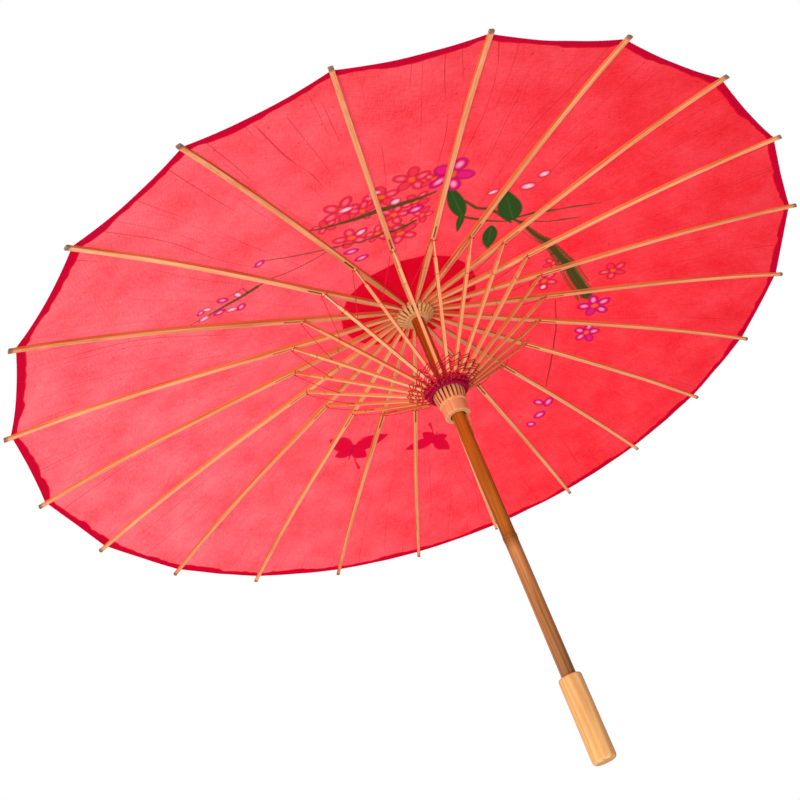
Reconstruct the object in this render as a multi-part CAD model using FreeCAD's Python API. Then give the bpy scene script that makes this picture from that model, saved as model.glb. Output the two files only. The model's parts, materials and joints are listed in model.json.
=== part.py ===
"""Folding parasol with split-bamboo ribs, in millimetres.

+Z runs up the pole. The origin is the centre of the grip's bottom face. The parasol is open, with the
runner resting on the spring catch. Rib 1 lies along +X, and the ribs count anticlockwise from above.
"""
import FreeCAD, Part
import os
from math import atan2, cos, degrees, hypot, radians, sin

# Driving dimensions
RIB_COUNT = 22
TIP_RADIUS = 420.0
TIP_HEIGHT = 419.0

# The four pivots of one rib and its stretcher, as (radius, height)
HUB_PIVOT = (17.0, 519.0)
RIB_JOINT = (147.0, 489.0)
RUNNER_PIVOT = (15.0, 405.0)

# Ribs, which arch a little between the joint and the tip
RIB_ARCH_POINT = (283.0, 458.4)
RIB_TOP_RISE = 3.6
RIB_JOINT_DEPTH_BELOW = 1.0
RIB_TIP_DEPTH = 3.0
RIB_BAR_START = 26.0
RIB_WIDTHS = [(30.0, 3.4), (70.0, 5.2), (118.0, 5.7), (160.0, 5.3), (290.0, 4.8), (421.0, 4.1)]
RIB_EDGE = 0.45
RIB_SLIT_WIDTH = 1.9
RIB_SLIT_INBOARD = 5.0
RIB_SLIT_OUTBOARD = 22.0
RIB_SLIT_RISE = 2.5

# Stretchers
STRETCHER_WIDTH = 3.4
STRETCHER_DEPTH = 3.4
STRETCHER_EDGE = 0.4

# Tongues at the bar ends, and the pegs and cords that run through them
TONGUE_WIDTH = 1.5
TONGUE_EYE_RADIUS = 1.9
STRETCHER_INNER_TONGUE = 15.0
STRETCHER_OUTER_TONGUE = 19.0
CORD_RADIUS = 0.45
EYE_HOLE_RADIUS = 0.62
PEG_RADIUS = 0.55
PEG_LENGTH = 5.0
SAW_CUT_WIDTH = 2.0

# Pole and grip
POLE_RADIUS = 7.0
POLE_TOP = 546.0
POLE_BOTTOM = 34.0
POLE_HOLLOW_RADIUS = 2.4
POLE_NODES = [222.0, 458.0]
POLE_NODE_SWELL = 0.55
POLE_NODE_HALF_HEIGHT = 4.0
POLE_NODE_WEB = 6.0
POLE_CHAMFER = 1.5
GRIP_RADIUS = 11.2
GRIP_LENGTH = 78.0
GRIP_BOTTOM_ROUND = 3.4
GRIP_TOP_ROUND = 2.4

# Top notch, the slotted hub that holds the ribs
NOTCH_BOTTOM = 509.0
NOTCH_RADIUS = 21.5
NOTCH_FACE_RADIUS = 12.5
NOTCH_RIM_BOTTOM = 515.0
NOTCH_SLOT_FLOOR = 13.8

# Runner
RUNNER_BOTTOM = 372.0
RUNNER_TOP = 409.5
RUNNER_CROWN_RADIUS = 17.5
RUNNER_COLLAR_RADIUS = 13.9
RUNNER_BORE_RADIUS = 8.7
RUNNER_COLLAR_TOP = 386.5
RUNNER_LEDGE_RADIUS = 15.2
RUNNER_CROWN_BOTTOM = 399.0
RUNNER_SLOT_BOTTOM = 388.5
RUNNER_SLOT_FLOOR_TOP = 11.0
RUNNER_SLOT_FLOOR_BOTTOM = 14.8

# Spring catch
CATCH_AZIMUTH = 90.0
CATCH_PIVOT = (2.6, 334.0)
CATCH_NOSE_RADIUS = 11.3
CATCH_TOP = 371.6
CATCH_THICKNESS = 2.6
CATCH_NOSE_HEIGHT = 5.0
CATCH_NOSE_DEPTH = 7.0
CATCH_PIN_RADIUS = 0.9
CATCH_SLOT_WIDTH = 3.0

# Canopy
CANOPY_THICKNESS = 0.4
CANOPY_STEPS = 17
CANOPY_GAP = 0.15
CANOPY_EDGE_RADIUS = 415.0
CANOPY_SCALLOP = 2.0
CANOPY_HOLE_RADIUS = 8.2
HEM_WIDTH = 8.0
HEM_THICKNESS = 0.4
PATCH_RADIUS = 78.0
PATCH_CENTRE = (36.0, -12.0)
PATCH_THICKNESS = 0.3
LAYER_GAP = 0.1

# Top cap
CAP_RADIUS = 17.0
CAP_RIM_RADIUS = 2.0
CAP_HEIGHT = 15.0
CAP_NECK_RADIUS = 9.0

# Threads
LACING_CORE = (19.9, 402.4)
LACING_CORE_RADIUS = 1.7
LACING_RING_RADII = [23.0, 29.0, 36.0, 44.0]
LACING_THREAD_RADIUS = 0.4
STAY_THREAD_RADIUS = 0.35
STAY_SHARE = 0.27

PITCH = 360.0 / RIB_COUNT
RIB_SLOPE = (HUB_PIVOT[1] - RIB_JOINT[1]) / (RIB_JOINT[0] - HUB_PIVOT[0])


def point(radius, height, across=0.0):
    """A point in the plane of rib 1."""
    return FreeCAD.Vector(radius, across, height)


def spin(shape, azimuth):
    """A copy of the shape, turned about the pole."""
    copy = shape.copy()
    copy.rotate(FreeCAD.Vector(0, 0, 0), FreeCAD.Vector(0, 0, 1), azimuth)
    return copy


def ring_of(shape):
    """One copy of the shape at each rib."""
    return [spin(shape, index * PITCH) for index in range(RIB_COUNT)]


def plate(outline, width):
    """A flat plate in rib 1's plane with the given (radius, height) outline, centred on the plane."""
    corners = [point(radius, height, -width / 2) for radius, height in outline]
    face = Part.Face(Part.makePolygon(corners + corners[:1]))
    return face.extrude(FreeCAD.Vector(0, width, 0))


def turned(outline):
    """A solid of revolution about the pole from a (radius, height) outline."""
    corners = [point(radius, height) for radius, height in outline]
    face = Part.Face(Part.makePolygon(corners + corners[:1]))
    return face.revolve(FreeCAD.Vector(0, 0, 0), FreeCAD.Vector(0, 0, 1), 360)


def column(radius, bottom, top):
    """A cylinder on the pole's axis."""
    return Part.makeCylinder(radius, top - bottom, FreeCAD.Vector(0, 0, bottom))


def cord_ring(radius, height, thickness):
    """A torus of thread around the pole."""
    return Part.makeTorus(radius, thickness, FreeCAD.Vector(0, 0, height))


def cross_pin(place, radius, width):
    """A pin across rib 1's plane, centred on it."""
    return Part.makeCylinder(radius, width, point(place[0], place[1], -width / 2), FreeCAD.Vector(0, 1, 0))


def segment(start, end, radius):
    """A straight piece of thread between two points."""
    run = end - start
    return Part.makeCylinder(radius, run.Length, start, run)


def longest_edges(solid, least):
    """The edges at least as long as the given length."""
    return [edge for edge in solid.Edges if edge.Length >= least]


def rib_line(radius):
    """Height of the smooth curve through the rib's two pivots, its arch and its tip."""
    knots = [HUB_PIVOT, RIB_JOINT, RIB_ARCH_POINT, (TIP_RADIUS, TIP_HEIGHT)]
    height = 0.0
    for knot in knots:
        weight = knot[1]
        for other in knots:
            if other is not knot:
                weight *= (radius - other[0]) / (knot[0] - other[0])
        height += weight
    return height


def rib_depth_below(radius):
    """How far the rib's underside lies below its pivot line; it turns negative towards the tip."""
    share = max(0.0, (radius - RIB_JOINT[0]) / (TIP_RADIUS - RIB_JOINT[0]))
    tip_depth_below = RIB_TIP_DEPTH - RIB_TOP_RISE
    return RIB_JOINT_DEPTH_BELOW + share * (tip_depth_below - RIB_JOINT_DEPTH_BELOW)


def rib_top(radius):
    """Height of the rib's upper face, which carries the canopy."""
    return rib_line(radius) + RIB_TOP_RISE


def smooth_curve(points):
    """A spline edge through the points."""
    curve = Part.BSplineCurve()
    curve.interpolate(points)
    return curve.toShape()


def rib_side_view():
    """The rib's side profile as a plate wide enough to trim."""
    stations = [RIB_BAR_START, 60.0, 100.0, 147.0, 190.0, 235.0, 280.0, 325.0, 372.0, TIP_RADIUS + 1]
    half = 5.0
    upper = [point(radius, rib_top(radius), -half) for radius in stations]
    undersides = [(radius, rib_line(radius) - rib_depth_below(radius)) for radius in reversed(stations)]
    lower = [point(radius, height, -half) for radius, height in undersides]
    edges = [
        smooth_curve(upper),
        Part.makeLine(upper[-1], lower[0]),
        smooth_curve(lower),
        Part.makeLine(lower[-1], upper[0]),
    ]
    return Part.Face(Part.Wire(edges)).extrude(FreeCAD.Vector(0, 2 * half, 0))


def rib_plan_view():
    """The rib's plan outline as a tall block: narrow at the hub, widest near the joint, slim at the tip."""
    floor = TIP_HEIGHT - 40
    stations = [(RIB_BAR_START, TONGUE_WIDTH)] + RIB_WIDTHS
    left = [point(radius, floor, width / 2) for radius, width in stations]
    right = [point(corner.x, floor, -corner.y) for corner in reversed(left)]
    edges = [
        Part.makeLine(left[0], left[1]),
        smooth_curve(left[1:]),
        Part.makeLine(left[-1], right[0]),
        smooth_curve(right[:-1]),
        Part.makeLine(right[-2], right[-1]),
        Part.makeLine(right[-1], left[0]),
    ]
    return Part.Face(Part.Wire(edges)).extrude(FreeCAD.Vector(0, 0, 200))


def rib_hub_tongue():
    """The thin inner end of the rib, with a round eye on the hub cord."""
    reach = RIB_BAR_START + 2
    eye = cross_pin(HUB_PIVOT, TONGUE_EYE_RADIUS, TONGUE_WIDTH)
    corners = [
        (HUB_PIVOT[0], HUB_PIVOT[1] + TONGUE_EYE_RADIUS),
        (HUB_PIVOT[0], HUB_PIVOT[1] - TONGUE_EYE_RADIUS),
        (reach, rib_line(reach) - RIB_JOINT_DEPTH_BELOW),
        (reach, rib_top(reach)),
    ]
    return plate(corners, TONGUE_WIDTH).fuse(eye)


def rib_slit():
    """The split at the joint that takes the stretcher's tongue, and more of it when the rib folds."""
    inner, outer = RIB_JOINT[0] - RIB_SLIT_INBOARD, RIB_JOINT[0] + RIB_SLIT_OUTBOARD
    below = RIB_JOINT[1] - 12
    return plate([
        (inner, below), (outer, below),
        (outer, rib_line(outer) + RIB_SLIT_RISE), (inner, rib_line(inner) + RIB_SLIT_RISE),
    ], RIB_SLIT_WIDTH)


def make_rib():
    """Rib 1 with its joint peg as a second solid."""
    body = rib_side_view().common(rib_plan_view())
    body = body.makeFillet(RIB_EDGE, longest_edges(body, TIP_RADIUS / 2))
    body = body.fuse(rib_hub_tongue())
    body = body.cut(rib_slit())
    peg = cross_pin(RIB_JOINT, PEG_RADIUS, PEG_LENGTH)
    body = body.cut(peg)
    body = body.cut(cross_pin(HUB_PIVOT, EYE_HOLE_RADIUS, 2 * TONGUE_WIDTH))
    return Part.makeCompound([body.Solids[0], peg])


def make_stretcher():
    """Stretcher 1: a square bar with a thin eyed tongue at each end."""
    run = (RIB_JOINT[0] - RUNNER_PIVOT[0], RIB_JOINT[1] - RUNNER_PIVOT[1])
    length = hypot(*run)
    inner, outer = STRETCHER_INNER_TONGUE, length - STRETCHER_OUTER_TONGUE
    bar = Part.makeBox(outer - inner, STRETCHER_WIDTH, STRETCHER_DEPTH,
                       FreeCAD.Vector(inner, -STRETCHER_WIDTH / 2, -STRETCHER_DEPTH / 2))
    bar = bar.makeFillet(STRETCHER_EDGE, longest_edges(bar, length / 2))
    tongue = Part.makeBox(length, TONGUE_WIDTH, STRETCHER_DEPTH,
                          FreeCAD.Vector(0, -TONGUE_WIDTH / 2, -STRETCHER_DEPTH / 2))
    body = bar.fuse(tongue)
    for end in (0.0, length):
        body = body.fuse(cross_pin((end, 0.0), STRETCHER_DEPTH / 2, TONGUE_WIDTH))
    for end in (0.0, length):
        body = body.cut(cross_pin((end, 0.0), EYE_HOLE_RADIUS, 2 * TONGUE_WIDTH))
    body = body.removeSplitter()
    body.rotate(FreeCAD.Vector(0, 0, 0), FreeCAD.Vector(0, 1, 0), -degrees(atan2(run[1], run[0])))
    body.translate(point(*RUNNER_PIVOT))
    return body


def catch_slot():
    """The long slot in the pole that the catch sinks into."""
    bottom, top = CATCH_PIVOT[1] - 4, CATCH_TOP + 2
    outline = [(-2.5, bottom), (12, bottom), (12, top), (-2.5, top)]
    return spin(plate(outline, CATCH_SLOT_WIDTH), CATCH_AZIMUTH)


def catch_pin_solid():
    """The peg through the pole that the catch turns on."""
    return spin(cross_pin(CATCH_PIVOT, CATCH_PIN_RADIUS, 11.0), CATCH_AZIMUTH)


def make_pole():
    """A bamboo pole with swollen nodes, hollow between them."""
    outline = [(0, POLE_BOTTOM), (POLE_RADIUS, POLE_BOTTOM)]
    for node in POLE_NODES:
        outline += [
            (POLE_RADIUS, node - POLE_NODE_HALF_HEIGHT),
            (POLE_RADIUS + 0.6 * POLE_NODE_SWELL, node - 1.6),
            (POLE_RADIUS + 0.25 * POLE_NODE_SWELL, node - 0.5),
            (POLE_RADIUS + POLE_NODE_SWELL, node + 0.6),
            (POLE_RADIUS + 0.5 * POLE_NODE_SWELL, node + 2.0),
            (POLE_RADIUS, node + POLE_NODE_HALF_HEIGHT),
        ]
    outline += [
        (POLE_RADIUS, POLE_TOP - POLE_CHAMFER), (POLE_RADIUS - POLE_CHAMFER, POLE_TOP), (0, POLE_TOP),
    ]
    pole = turned(outline)
    levels = [POLE_BOTTOM - POLE_NODE_WEB] + POLE_NODES + [POLE_TOP]
    for low, high in zip(levels, levels[1:]):
        pole = pole.cut(column(POLE_HOLLOW_RADIUS, low + POLE_NODE_WEB, high - POLE_NODE_WEB))
    return pole.cut(catch_slot()).cut(catch_pin_solid())


def make_grip():
    """A turned grip with rounded ends and a blind bore for the pole."""
    body = column(GRIP_RADIUS, 0, GRIP_LENGTH)
    bottom_edges = [edge for edge in body.Edges if edge.Closed and edge.BoundBox.ZMax < 1]
    body = body.makeFillet(GRIP_BOTTOM_ROUND, bottom_edges)
    top_edges = [edge for edge in body.Edges if edge.Closed and edge.BoundBox.ZMin > GRIP_LENGTH - 1]
    body = body.makeFillet(GRIP_TOP_ROUND, top_edges)
    return body.cut(column(POLE_RADIUS, POLE_BOTTOM, GRIP_LENGTH + 1))


def saw_cuts(outline):
    """Radial saw cuts, one for each rib."""
    return ring_of(plate(outline, SAW_CUT_WIDTH))


def make_top_notch():
    """The slotted hub glued to the pole, coned on top to meet the canopy."""
    rim_top = rib_top(NOTCH_RADIUS) - 0.1
    body = turned([
        (POLE_RADIUS, NOTCH_BOTTOM), (NOTCH_FACE_RADIUS, NOTCH_BOTTOM), (NOTCH_RADIUS, NOTCH_RIM_BOTTOM),
        (NOTCH_RADIUS, rim_top), (POLE_RADIUS, rim_top + RIB_SLOPE * (NOTCH_RADIUS - POLE_RADIUS)),
    ])
    low, high = NOTCH_BOTTOM - 5, NOTCH_BOTTOM + 30
    floor, outside = NOTCH_SLOT_FLOOR, NOTCH_RADIUS + 3
    body = body.cut(saw_cuts([(floor, low), (outside, low), (outside, high), (floor, high)]))
    return body.cut(cord_ring(HUB_PIVOT[0], HUB_PIVOT[1], CORD_RADIUS))


def make_runner():
    """The slotted runner: a toothed crown over a plain collar."""
    body = turned([
        (RUNNER_BORE_RADIUS, RUNNER_BOTTOM), (RUNNER_COLLAR_RADIUS - 0.8, RUNNER_BOTTOM),
        (RUNNER_COLLAR_RADIUS, RUNNER_BOTTOM + 0.8), (RUNNER_COLLAR_RADIUS, RUNNER_COLLAR_TOP),
        (RUNNER_LEDGE_RADIUS, RUNNER_COLLAR_TOP + 1), (RUNNER_CROWN_RADIUS - 0.6, RUNNER_CROWN_BOTTOM - 4),
        (RUNNER_CROWN_RADIUS, RUNNER_CROWN_BOTTOM), (RUNNER_CROWN_RADIUS, RUNNER_TOP - 1),
        (RUNNER_CROWN_RADIUS - 1, RUNNER_TOP), (RUNNER_BORE_RADIUS, RUNNER_TOP),
    ])
    top, outside = RUNNER_TOP + 1, RUNNER_CROWN_RADIUS + 5
    body = body.cut(saw_cuts([
        (RUNNER_SLOT_FLOOR_TOP, top), (RUNNER_SLOT_FLOOR_BOTTOM, RUNNER_SLOT_BOTTOM),
        (outside, RUNNER_SLOT_BOTTOM), (outside, top),
    ]))
    return body.cut(cord_ring(RUNNER_PIVOT[0], RUNNER_PIVOT[1], CORD_RADIUS))


def make_catch():
    """The bamboo tongue under the runner, hinged low in the pole's slot."""
    pivot_radius, pivot_height = CATCH_PIVOT
    back = CATCH_NOSE_RADIUS - CATCH_NOSE_DEPTH
    body = plate([
        (pivot_radius - 1.8, pivot_height - 1.5), (pivot_radius + 1.8, pivot_height - 1.5),
        (POLE_RADIUS - 0.6, pivot_height + 6), (CATCH_NOSE_RADIUS, CATCH_TOP - CATCH_NOSE_HEIGHT),
        (CATCH_NOSE_RADIUS, CATCH_TOP - 0.8), (CATCH_NOSE_RADIUS - 0.8, CATCH_TOP),
        (back + 1, CATCH_TOP), (back, CATCH_TOP - 1),
    ], CATCH_THICKNESS)
    body = body.cut(cross_pin(CATCH_PIVOT, CATCH_PIN_RADIUS + 0.08, 11.0))
    return spin(body, CATCH_AZIMUTH)


def corner_loop(radius, height):
    """One point over each rib, and the first again to close the loop."""
    return [spin(Part.Vertex(point(radius, height)), index * PITCH).Point for index in range(RIB_COUNT + 1)]


def cone_sheet(inner, outer, underside, thickness):
    """A many-sided cone that lies flat between neighbouring ribs, from one radius to another."""
    steps = max(2, round(CANOPY_STEPS * (outer - inner) / TIP_RADIUS))
    stations = [inner + (outer - inner) * step / steps for step in range(steps + 1)]
    lower = [corner_loop(radius, rib_top(radius) + underside) for radius in stations]
    upper = [corner_loop(radius, rib_top(radius) + underside + thickness) for radius in stations]
    faces = []
    for loops, flip in ((lower, True), (upper, False)):
        for inside, outside in zip(loops, loops[1:]):
            faces += ring_faces(inside, outside, flip)
    faces += ring_faces(lower[0], upper[0], True)
    faces += ring_faces(lower[-1], upper[-1], False)
    return Part.Solid(Part.Shell(faces))


def ring_faces(first, second, flip):
    """Flat four-sided faces between two loops of points."""
    faces = []
    for index in range(RIB_COUNT):
        corners = [first[index], first[index + 1], second[index + 1], second[index]]
        if flip:
            corners.reverse()
        faces.append(Part.Face(Part.makePolygon(corners + corners[:1])))
    return faces


def scalloped_prism(radius):
    """A tall prism whose outline is drawn in between the ribs."""
    floor = TIP_HEIGHT - 60
    drawn_in = radius * cos(radians(PITCH / 2)) - CANOPY_SCALLOP
    edges = []
    for index in range(RIB_COUNT):
        points = []
        for reach, share in ((radius, 0.0), (drawn_in, 0.5), (radius, 1.0)):
            angle = radians((index + share) * PITCH)
            points.append(FreeCAD.Vector(reach * cos(angle), reach * sin(angle), floor))
        edges.append(Part.Arc(*points).toShape())
    return Part.Face(Part.Wire(edges)).extrude(FreeCAD.Vector(0, 0, 250))


def make_canopy():
    """The fabric sheet on the ribs, with its rim drawn in between them."""
    sheet = cone_sheet(CANOPY_HOLE_RADIUS, CANOPY_EDGE_RADIUS + 1, CANOPY_GAP, CANOPY_THICKNESS)
    return sheet.common(scalloped_prism(CANOPY_EDGE_RADIUS))


def make_canopy_hem():
    """The folded edge of the fabric, a narrow band on top of the sheet."""
    lift = CANOPY_GAP + CANOPY_THICKNESS + LAYER_GAP
    band = cone_sheet(CANOPY_EDGE_RADIUS - 40, CANOPY_EDGE_RADIUS + 1, lift, HEM_THICKNESS)
    band = band.common(scalloped_prism(CANOPY_EDGE_RADIUS))
    return band.cut(scalloped_prism(CANOPY_EDGE_RADIUS - HEM_WIDTH))


def make_centre_patch():
    """The round second layer of fabric over the hub, sewn on a little off centre."""
    lift = CANOPY_GAP + CANOPY_THICKNESS + LAYER_GAP
    offset = FreeCAD.Vector(PATCH_CENTRE[0], PATCH_CENTRE[1], TIP_HEIGHT)
    reach = hypot(*PATCH_CENTRE) + PATCH_RADIUS + 8
    patch = cone_sheet(CANOPY_HOLE_RADIUS, reach, lift, PATCH_THICKNESS)
    return patch.common(Part.makeCylinder(PATCH_RADIUS, POLE_TOP - TIP_HEIGHT, offset))


def make_top_cap():
    """A turned wooden cap that clamps the fabric to the notch."""
    rest = rib_top(0) + CANOPY_GAP + CANOPY_THICKNESS + 2 * LAYER_GAP + PATCH_THICKNESS
    rim = rest - RIB_SLOPE * CAP_RADIUS
    top = rim + CAP_HEIGHT
    return turned([
        (POLE_RADIUS, rest - RIB_SLOPE * POLE_RADIUS), (CAP_RADIUS, rim), (CAP_RADIUS, rim + CAP_RIM_RADIUS),
        (CAP_RADIUS - 1.2, rim + 2 * CAP_RIM_RADIUS), (CAP_NECK_RADIUS + 2.5, top - 7),
        (CAP_NECK_RADIUS + 0.4, top - 3), (CAP_NECK_RADIUS, top), (POLE_RADIUS, top),
    ])


def stretcher_top(radius):
    """Height of the stretchers' upper faces at a radius."""
    slope = (RIB_JOINT[1] - RUNNER_PIVOT[1]) / (RIB_JOINT[0] - RUNNER_PIVOT[0])
    rise = STRETCHER_DEPTH / 2 * hypot(1, slope)
    return RUNNER_PIVOT[1] + slope * (radius - RUNNER_PIVOT[0]) + rise


def make_lacing_thread():
    """The wound thread at the crown: a thick ring under the stretchers and thin rings over them."""
    rings = [cord_ring(LACING_CORE[0], LACING_CORE[1], LACING_CORE_RADIUS)]
    for radius in LACING_RING_RADII:
        height = stretcher_top(radius) + 2 * LACING_THREAD_RADIUS
        rings.append(cord_ring(radius, height, LACING_THREAD_RADIUS))
    return Part.makeCompound(rings)


def make_stay_thread():
    """The spacing thread from each rib joint to the stretcher before it."""
    start = point(RIB_JOINT[0] + 1, RIB_JOINT[1] - RIB_JOINT_DEPTH_BELOW - 1.2, -STRETCHER_WIDTH / 2 - 1.0)
    radius = RIB_JOINT[0] - STAY_SHARE * (RIB_JOINT[0] - RUNNER_PIVOT[0])
    centre = stretcher_top(radius) - STRETCHER_DEPTH / 2
    end = spin(Part.Vertex(point(radius, centre, STRETCHER_WIDTH / 2 + 0.8)), -PITCH).Point
    return Part.makeCompound(ring_of(segment(start, end, STAY_THREAD_RADIUS)))


def all_parts():
    """Every node's name and shape."""
    parts = {
        "pole": make_pole(),
        "grip": make_grip(),
        "top_notch": make_top_notch(),
        "runner": make_runner(),
        "catch": make_catch(),
        "catch_pin": catch_pin_solid().common(column(POLE_RADIUS - 0.05, 0, POLE_TOP)),
        "hub_cord": cord_ring(HUB_PIVOT[0], HUB_PIVOT[1], CORD_RADIUS),
        "runner_cord": cord_ring(RUNNER_PIVOT[0], RUNNER_PIVOT[1], CORD_RADIUS),
        "stay_thread": make_stay_thread(),
        "lacing_thread": make_lacing_thread(),
        "canopy": make_canopy(),
        "canopy_hem": make_canopy_hem(),
        "centre_patch": make_centre_patch(),
        "top_cap": make_top_cap(),
    }
    rib, stretcher = make_rib(), make_stretcher()
    for index in range(RIB_COUNT):
        parts[f"rib_{index + 1:02d}"] = spin(rib, index * PITCH)
        parts[f"stretcher_{index + 1:02d}"] = spin(stretcher, index * PITCH)
    return parts


os.makedirs("parts", exist_ok=True)
for name, shape in all_parts().items():
    shape.exportStep(f"parts/{name}.step")
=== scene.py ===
"""Looks of the folding parasol: a painted fabric canopy, its lacing, bamboo and turned wood.

Blender works in metres and the sizes below are in millimetres times MM. +Z runs up the pole, rib 1 lies
along +X and the ribs count anticlockwise from above. A place on the fabric is a station (the distance from
the pole along a rib) and a turn (0 at rib 1, 1 at rib 2, and so on, with fractions between the ribs).
"""
import json
from functools import partial
from math import atan2, cos, hypot, pi, radians, sin, tan

import bpy
import numpy as np
from mathutils import Matrix, Vector

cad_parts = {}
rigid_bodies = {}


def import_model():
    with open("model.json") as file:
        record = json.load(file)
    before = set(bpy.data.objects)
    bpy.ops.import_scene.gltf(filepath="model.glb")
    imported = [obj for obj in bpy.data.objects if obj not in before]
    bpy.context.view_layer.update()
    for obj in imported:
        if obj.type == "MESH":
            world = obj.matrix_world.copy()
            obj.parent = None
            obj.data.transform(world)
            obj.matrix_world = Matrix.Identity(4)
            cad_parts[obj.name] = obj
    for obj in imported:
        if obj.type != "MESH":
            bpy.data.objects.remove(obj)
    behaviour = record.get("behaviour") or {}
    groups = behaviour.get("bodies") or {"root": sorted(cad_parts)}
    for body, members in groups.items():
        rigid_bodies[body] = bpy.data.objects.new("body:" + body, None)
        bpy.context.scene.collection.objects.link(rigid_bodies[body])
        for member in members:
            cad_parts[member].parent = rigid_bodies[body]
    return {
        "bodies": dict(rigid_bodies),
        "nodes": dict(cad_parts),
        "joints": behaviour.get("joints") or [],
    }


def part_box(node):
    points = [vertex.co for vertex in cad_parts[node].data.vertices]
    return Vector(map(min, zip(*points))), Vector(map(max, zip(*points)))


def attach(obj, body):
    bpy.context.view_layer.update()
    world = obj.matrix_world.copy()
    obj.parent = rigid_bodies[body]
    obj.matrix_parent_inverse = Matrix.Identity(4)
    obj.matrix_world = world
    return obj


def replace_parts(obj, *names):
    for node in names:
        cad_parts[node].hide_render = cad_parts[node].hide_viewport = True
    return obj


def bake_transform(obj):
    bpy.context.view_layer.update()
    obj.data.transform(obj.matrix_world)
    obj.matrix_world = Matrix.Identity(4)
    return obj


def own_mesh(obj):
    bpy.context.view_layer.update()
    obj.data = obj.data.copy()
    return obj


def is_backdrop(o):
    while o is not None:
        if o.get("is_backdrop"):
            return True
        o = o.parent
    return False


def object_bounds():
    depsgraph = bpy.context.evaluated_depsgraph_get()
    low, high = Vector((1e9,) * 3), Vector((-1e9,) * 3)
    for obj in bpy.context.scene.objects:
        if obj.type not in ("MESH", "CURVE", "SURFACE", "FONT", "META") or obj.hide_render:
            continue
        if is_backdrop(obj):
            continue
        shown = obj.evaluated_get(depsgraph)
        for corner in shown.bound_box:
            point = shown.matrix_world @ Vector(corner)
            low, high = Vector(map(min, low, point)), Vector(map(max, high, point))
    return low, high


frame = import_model()
cad_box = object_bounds()

MM = 0.001
RIBS = sum(name.startswith("rib_") for name in frame["bodies"])
PITCH = 2 * pi / RIBS
JOINTS = {joint["name"]: joint for joint in frame["joints"]}


def pivot(joint):
    """(radius, height) of a hinge that lies in rib 1's plane."""
    place = JOINTS[joint]["pos_m"]
    return place[0], place[2]


def cord_centre(node):
    """(radius, height) of the centre line of a round cord."""
    low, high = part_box(node)
    thickness = (high.z - low.z) / 2
    return high.x - thickness, (low.z + high.z) / 2


def canopy_profile():
    """The cubic that gives the height of the canopy's underside over rib 1 by station."""
    mesh = frame["nodes"]["canopy"].data
    places = np.array([vertex.co for vertex in mesh.vertices])
    over_rib = places[(np.abs(places[:, 1]) < 1e-5) & (places[:, 0] > 0)]
    stations = np.unique(np.round(over_rib[:, 0], 5))
    heights = [over_rib[np.abs(over_rib[:, 0] - station) < 1e-5, 2].min() for station in stations]
    return np.polyfit(stations, heights, 3)


HUB = pivot("rib_01_fold")
JOINT = pivot("stretcher_01_fold")
RUNNER = cord_centre("runner_cord")
LABELS = [f"{rib + 1:02d}" for rib in range(RIBS)]
STRETCHER_RUN = Vector((JOINT[0] - RUNNER[0], 0, JOINT[1] - RUNNER[1]))
PROFILE = canopy_profile()
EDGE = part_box("canopy")[1].x

# Fabric. RIB_REST is half the width that lies flat on a rib, the sheen span is where a painted sheen starts
# to pale the red towards -Y and where it is wholly pale, and WEAVE is in radians to the metre
SHEET_LIFT = 0.1 * MM
EDGE_DIP = 2.0 * MM
SAG = 3.0 * MM
RIB_REST = 2.7 * MM
LAYER = 0.45 * MM
PATCH_CENTRE = (36.0 * MM, -12.0 * MM)
PATCH_RADIUS = 78.0 * MM
# Painted sheen: from where the red starts to pale towards -Y to where it is wholly pale
PAINTED_SHEEN_SPAN = (-0.24, 0.47)
CROWN_START = 8.6 * MM
CROWN_END = 22.0 * MM
COLLAR_END = 40.0 * MM
HEM_WIDTHS = (4.2 * MM, 8.6 * MM)
HEM_SPLAY = 0.22 * MM
WEAVE = 9000.0

# Rings of each rib's panel: name, first and last station and the size of a face, in millimetres
RINGS = (("inner", 40, 80, 1.8), ("middle", 80, 140, 1.5), ("painted", 140, 240, 1.0))
EDGE_FINE_END = 280.0 * MM

# Saw cuts in the notch and the runner
CUT_WIDTH = 2.0 * MM
CUT_BOTTOM = 388.4 * MM

# How much browner the bamboo is painted on the sides of its bars, as painted shade, and turned wood on the
# end grain under the grip
SIDE_SHADE_AND_END_GRAIN_BROWN = (0.80, 0.62, 0.42)

# Threads: distances along a stretcher from the runner's cord, then radii
WOUND = (3.6 * MM, 12.0 * MM)
THIN_TONGUE_END = 15.0 * MM
RING_REACH = 5.0 * MM
RING_RISE = 1.9 * MM
RING_TWIST = 1.15 * MM
RING_STRAND = 0.6 * MM
WOUND_THREAD = 0.48 * MM
ROW_THREAD = 0.74 * MM
STAY_THREAD = 0.36 * MM
WRAP_THREAD = 0.34 * MM

# Light from the white surroundings, and how much stronger it is from the picture's left
AMBIENT = 0.64
LEFT_SHARE = 0.10
LEFT_WAY = (-0.38, -0.925, 0.0)

# Camera, at the viewing angle of the picture: from below and to one side, tilted, with a shifted lens
CAMERA_PLACE = (0.8022, -0.2632, -0.1318)
CAMERA_AZIMUTH = radians(157.68)
CAMERA_ELEVATION = radians(30.74)
CAMERA_ROLL = radians(25.21)
CAMERA_LENS = 41.89
CAMERA_SHIFT = (-0.14, -0.0079)

rng = np.random.default_rng(22)


# ---------------- mesh helpers

def new_piece(name, points, faces, material):
    """A smooth mesh object from points and faces, with one material."""
    mesh = bpy.data.meshes.new(name)
    mesh.from_pydata([tuple(point) for point in points], [], faces)
    mesh.polygons.foreach_set("use_smooth", [True] * len(mesh.polygons))
    mesh.materials.append(material)
    piece = bpy.data.objects.new(name, mesh)
    bpy.context.scene.collection.objects.link(piece)
    return piece


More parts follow.
